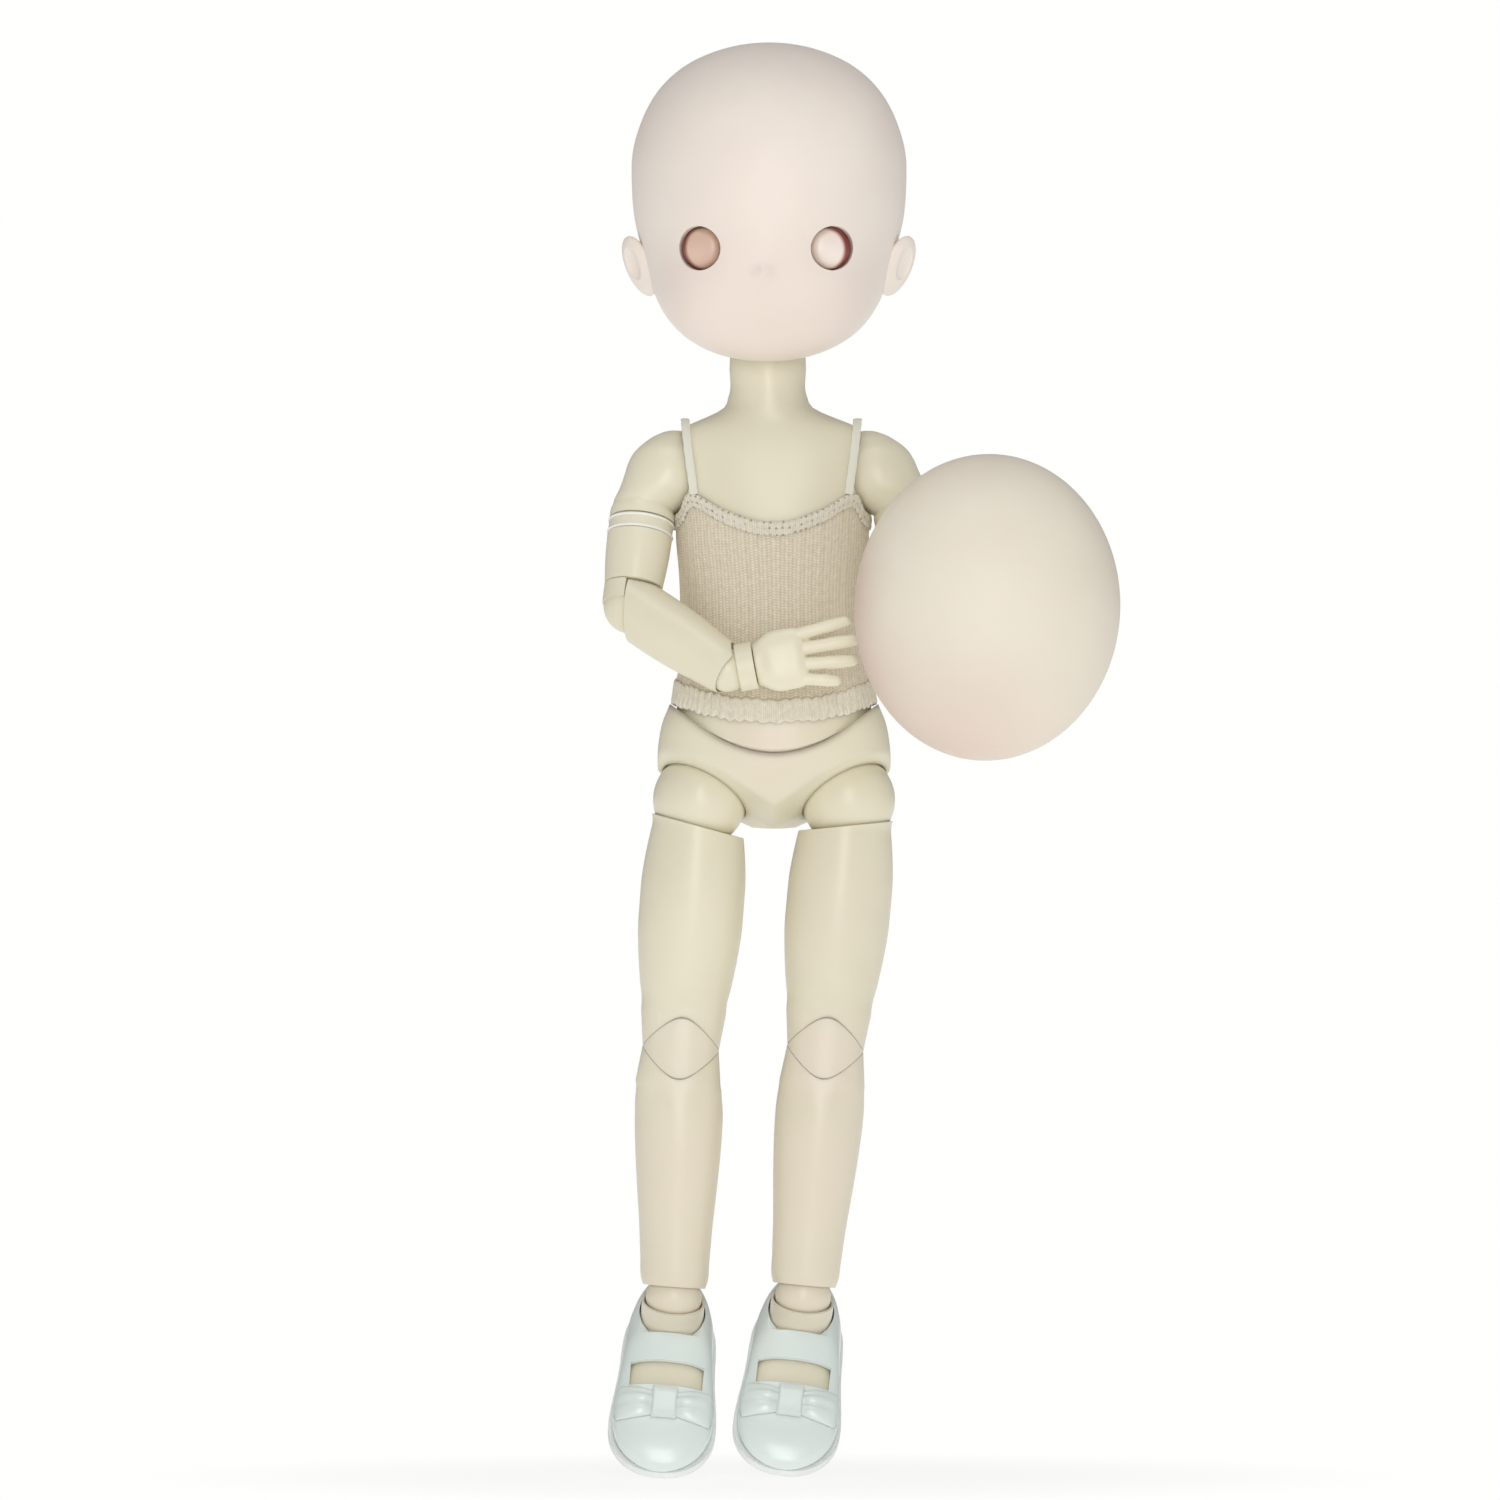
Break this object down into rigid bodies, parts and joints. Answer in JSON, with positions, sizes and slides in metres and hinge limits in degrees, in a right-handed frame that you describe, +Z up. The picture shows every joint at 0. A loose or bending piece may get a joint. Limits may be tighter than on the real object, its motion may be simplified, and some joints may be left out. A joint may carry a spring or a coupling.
{
  "type": "ball jointed doll",
  "caption": "Ball jointed doll in a knit camisole and moulded bow shoes, holding the open rear half of its blank head.",
  "frame": {"origin": "middle of the waist, where a doll stand's clip goes round the body", "axes": "+Z up through the head, the doll faces -Y, its left arm is at +X"},
  "size_m": [0.1143, 0.0805, 0.3187],
  "materials": {
    "head": "matte pinkish cream",
    "skin": "satin cream",
    "core": "plain",
    "eye": "satin peach",
    "cloth": "beige rib knit",
    "strap": "white elastic",
    "shoe": "glossy white with a slight mint tint"
  },
  "bodies": {
    "torso": {"torso": "skin", "camisole": "cloth", "strap_r": "strap", "strap_l": "strap"},
    "waist_ball": {"waist_ball": "core"},
    "pelvis": {"pelvis": "skin"},
    "neck_ball": {"neck_ball": "core"},
    "head": {"head_shell": "head", "eye_r": "eye", "eye_l": "eye"},
    "hip_ball_r": {"hip_ball_r": "skin"},
    "hip_core_r": {"hip_core_r": "core"},
    "thigh_r": {"thigh_r": "skin"},
    "knee_link_r": {"knee_link_r": "skin"},
    "shin_r": {"shin_r": "skin"},
    "ankle_ball_r": {"ankle_ball_r": "skin"},
    "foot_r": {"foot_r": "skin", "shoe_upper_r": "shoe", "shoe_sole_r": "shoe", "shoe_bow_r": "shoe"},
    "shoulder_ball_r": {"shoulder_ball_r": "core"},
    "shoulder_cap_r": {"shoulder_cap_r": "skin", "arm_ring_r": "skin"},
    "upper_arm_r": {"upper_arm_r": "skin"},
    "elbow_link_r": {"elbow_link_r": "skin"},
    "forearm_r": {"forearm_r": "skin"},
    "wrist_ball_r": {"wrist_ball_r": "skin"},
    "hand_r": {"hand_r": "skin"},
    "hip_ball_l": {"hip_ball_l": "skin"},
    "hip_core_l": {"hip_core_l": "core"},
    "thigh_l": {"thigh_l": "skin"},
    "knee_link_l": {"knee_link_l": "skin"},
    "shin_l": {"shin_l": "skin"},
    "ankle_ball_l": {"ankle_ball_l": "skin"},
    "foot_l": {"foot_l": "skin", "shoe_upper_l": "shoe", "shoe_sole_l": "shoe", "shoe_bow_l": "shoe"},
    "shoulder_ball_l": {"shoulder_ball_l": "core"},
    "shoulder_cap_l": {"shoulder_cap_l": "skin", "arm_ring_l": "skin"},
    "upper_arm_l": {"upper_arm_l": "skin"},
    "elbow_link_l": {"elbow_link_l": "skin"},
    "forearm_l": {"forearm_l": "skin"},
    "wrist_ball_l": {"wrist_ball_l": "skin"},
    "hand_l": {"hand_l": "skin"},
    "head_cap": {"head_cap": "head"}
  },
  "joints": [
    {"name": "waist_turn", "type": "hinge", "parent": "torso", "child": "waist_ball", "pos_m": [0.0009, 0, 0.0097], "axis": [0, 0, 1], "range_deg": [-25, 25]},
    {"name": "waist_bend", "type": "hinge", "parent": "waist_ball", "child": "pelvis", "pos_m": [0.0009, 0, 0.0097], "axis": [1, 0, 0], "range_deg": [-12, 12]},
    {"name": "neck_turn", "type": "hinge", "parent": "torso", "child": "neck_ball", "pos_m": [-0.0004, -0.001, 0.085], "axis": [0, 0, 1], "range_deg": [-60, 60]},
    {"name": "head_nod", "type": "hinge", "parent": "neck_ball", "child": "head", "pos_m": [-0.0004, -0.001, 0.085], "axis": [1, 0, 0], "range_deg": [-8, 8]},
    {"name": "hip_swing_r", "type": "hinge", "parent": "pelvis", "child": "hip_ball_r", "pos_m": [-0.0156, 0, -0.0222], "axis": [-1, 0, 0], "range_deg": [-15, 65]},
    {"name": "hip_spread_r", "type": "hinge", "parent": "hip_ball_r", "child": "hip_core_r", "pos_m": [-0.0156, 0, -0.0222], "axis": [0, 1, 0], "range_deg": [0, 40]},
    {"name": "thigh_turn_r", "type": "hinge", "parent": "hip_core_r", "child": "thigh_r", "pos_m": [-0.0156, 0, -0.0222], "axis": [-0.0767, 0, -0.9971], "range_deg": [0, 15]},
    {"name": "knee_upper_r", "type": "hinge", "parent": "thigh_r", "child": "knee_link_r", "pos_m": [-0.01923, 0, -0.06941], "axis": [0.9971, 0, -0.0767], "range_deg": [0, 60]},
    {"name": "knee_lower_r", "type": "hinge", "parent": "knee_link_r", "child": "shin_r", "pos_m": [-0.02045, 0, -0.08526], "axis": [0.9971, 0, -0.0767], "range_deg": [0, 60]},
    {"name": "ankle_pitch_r", "type": "hinge", "parent": "shin_r", "child": "ankle_ball_r", "pos_m": [-0.02139, 0, -0.13278], "axis": [-0.996, 0, 0.0889], "range_deg": [-2, 48]},
    {"name": "ankle_roll_r", "type": "hinge", "parent": "ankle_ball_r", "child": "foot_r", "pos_m": [-0.02139, 0, -0.13278], "axis": [-0.0629, -0.7071, -0.7043], "range_deg": [-10, 10]},
    {"name": "shoulder_swing_r", "type": "hinge", "parent": "torso", "child": "shoulder_ball_r", "pos_m": [-0.022, 0, 0.0508], "axis": [-1, 0, 0], "range_deg": [0, 90]},
    {"name": "shoulder_lift_r", "type": "hinge", "parent": "shoulder_ball_r", "child": "shoulder_cap_r", "pos_m": [-0.022, 0, 0.0508], "axis": [0, 0.9455, -0.3256], "range_deg": [0, 50]},
    {"name": "arm_turn_r", "type": "hinge", "parent": "shoulder_cap_r", "child": "upper_arm_r", "pos_m": [-0.02868, -0.00434, 0.0382], "axis": [-0.1149, -0.3234, -0.9393], "range_deg": [0, 60]},
    {"name": "elbow_turn_r", "type": "hinge", "parent": "upper_arm_r", "child": "elbow_link_r", "pos_m": [-0.03081, -0.01035, 0.02073], "axis": [-0.1149, -0.3234, -0.9393], "range_deg": [0, 45]},
    {"name": "elbow_bend_r", "type": "hinge", "parent": "elbow_link_r", "child": "forearm_r", "pos_m": [-0.03081, -0.01035, 0.02073], "axis": [0.2218, 0.9133, -0.3416], "range_deg": [0, 57]},
    {"name": "wrist_bend_r", "type": "hinge", "parent": "forearm_r", "child": "wrist_ball_r", "pos_m": [-0.00946, -0.02084, 0.00655], "axis": [0.1288, 0.8801, -0.4569], "range_deg": [0, 45]},
    {"name": "wrist_turn_r", "type": "hinge", "parent": "wrist_ball_r", "child": "hand_r", "pos_m": [-0.00946, -0.02084, 0.00655], "axis": [0.9823, -0.0501, 0.1804], "range_deg": [0, 30]},
    {"name": "hip_swing_l", "type": "hinge", "parent": "pelvis", "child": "hip_ball_l", "pos_m": [0.0174, 0, -0.0222], "axis": [-1, 0, 0], "range_deg": [-15, 56]},
    {"name": "hip_spread_l", "type": "hinge", "parent": "hip_ball_l", "child": "hip_core_l", "pos_m": [0.0174, 0, -0.0222], "axis": [0, -1, 0], "range_deg": [0, 40]},
    {"name": "thigh_turn_l", "type": "hinge", "parent": "hip_core_l", "child": "thigh_l", "pos_m": [0.0174, 0, -0.0222], "axis": [0.0924, 0, 0.9957], "range_deg": [0, 15]},
    {"name": "knee_upper_l", "type": "hinge", "parent": "thigh_l", "child": "knee_link_l", "pos_m": [0.01303, 0, -0.06935], "axis": [0.9957, 0, -0.0924], "range_deg": [0, 60]},
    {"name": "knee_lower_l", "type": "hinge", "parent": "knee_link_l", "child": "shin_l", "pos_m": [0.01156, 0, -0.08518], "axis": [0.9957, 0, -0.0924], "range_deg": [0, 60]},
    {"name": "ankle_pitch_l", "type": "hinge", "parent": "shin_l", "child": "ankle_ball_l", "pos_m": [0.00737, 0, -0.13244], "axis": [-0.9921, 0, 0.1253], "range_deg": [-2, 48]},
    {"name": "ankle_roll_l", "type": "hinge", "parent": "ankle_ball_l", "child": "foot_l", "pos_m": [0.00737, 0, -0.13244], "axis": [-0.0886, -0.7071, -0.7015], "range_deg": [-10, 10]},
    {"name": "shoulder_swing_l", "type": "hinge", "parent": "torso", "child": "shoulder_ball_l", "pos_m": [0.0226, 0, 0.0508], "axis": [-1, 0, 0], "range_deg": [0, 60]},
    {"name": "shoulder_lift_l", "type": "hinge", "parent": "shoulder_ball_l", "child": "shoulder_cap_l", "pos_m": [0.0226, 0, 0.0508], "axis": [0, -0.9703, 0.2419], "range_deg": [0, 50]},
    {"name": "arm_turn_l", "type": "hinge", "parent": "shoulder_cap_l", "child": "upper_arm_l", "pos_m": [0.03072, -0.00302, 0.03868], "axis": [-0.225, 0.2357, 0.9454], "range_deg": [0, 60]},
    {"name": "elbow_turn_l", "type": "hinge", "parent": "upper_arm_l", "child": "elbow_link_l", "pos_m": [0.0349, -0.00741, 0.02109], "axis": [-0.225, 0.2357, 0.9454], "range_deg": [0, 45]},
    {"name": "elbow_bend_l", "type": "hinge", "parent": "elbow_link_l", "child": "forearm_l", "pos_m": [0.0349, -0.00741, 0.02109], "axis": [0.689, 0.7246, -0.0167], "range_deg": [0, 44]},
    {"name": "wrist_bend_l", "type": "hinge", "parent": "forearm_l", "child": "wrist_ball_l", "pos_m": [0.05447, -0.02615, 0.01533], "axis": [0.3396, 0.0661, 0.9383], "range_deg": [0, 58]},
    {"name": "wrist_turn_l", "type": "hinge", "parent": "wrist_ball_l", "child": "hand_l", "pos_m": [0.05447, -0.02615, 0.01533], "axis": [-0.2019, -0.9692, 0.1413], "range_deg": [-25, 25]},
    {"name": "cap_off", "type": "slide", "parent": "hand_l", "child": "head_cap", "axis": [0, -1, 0], "range_m": [0, 0.03]}
  ]
}
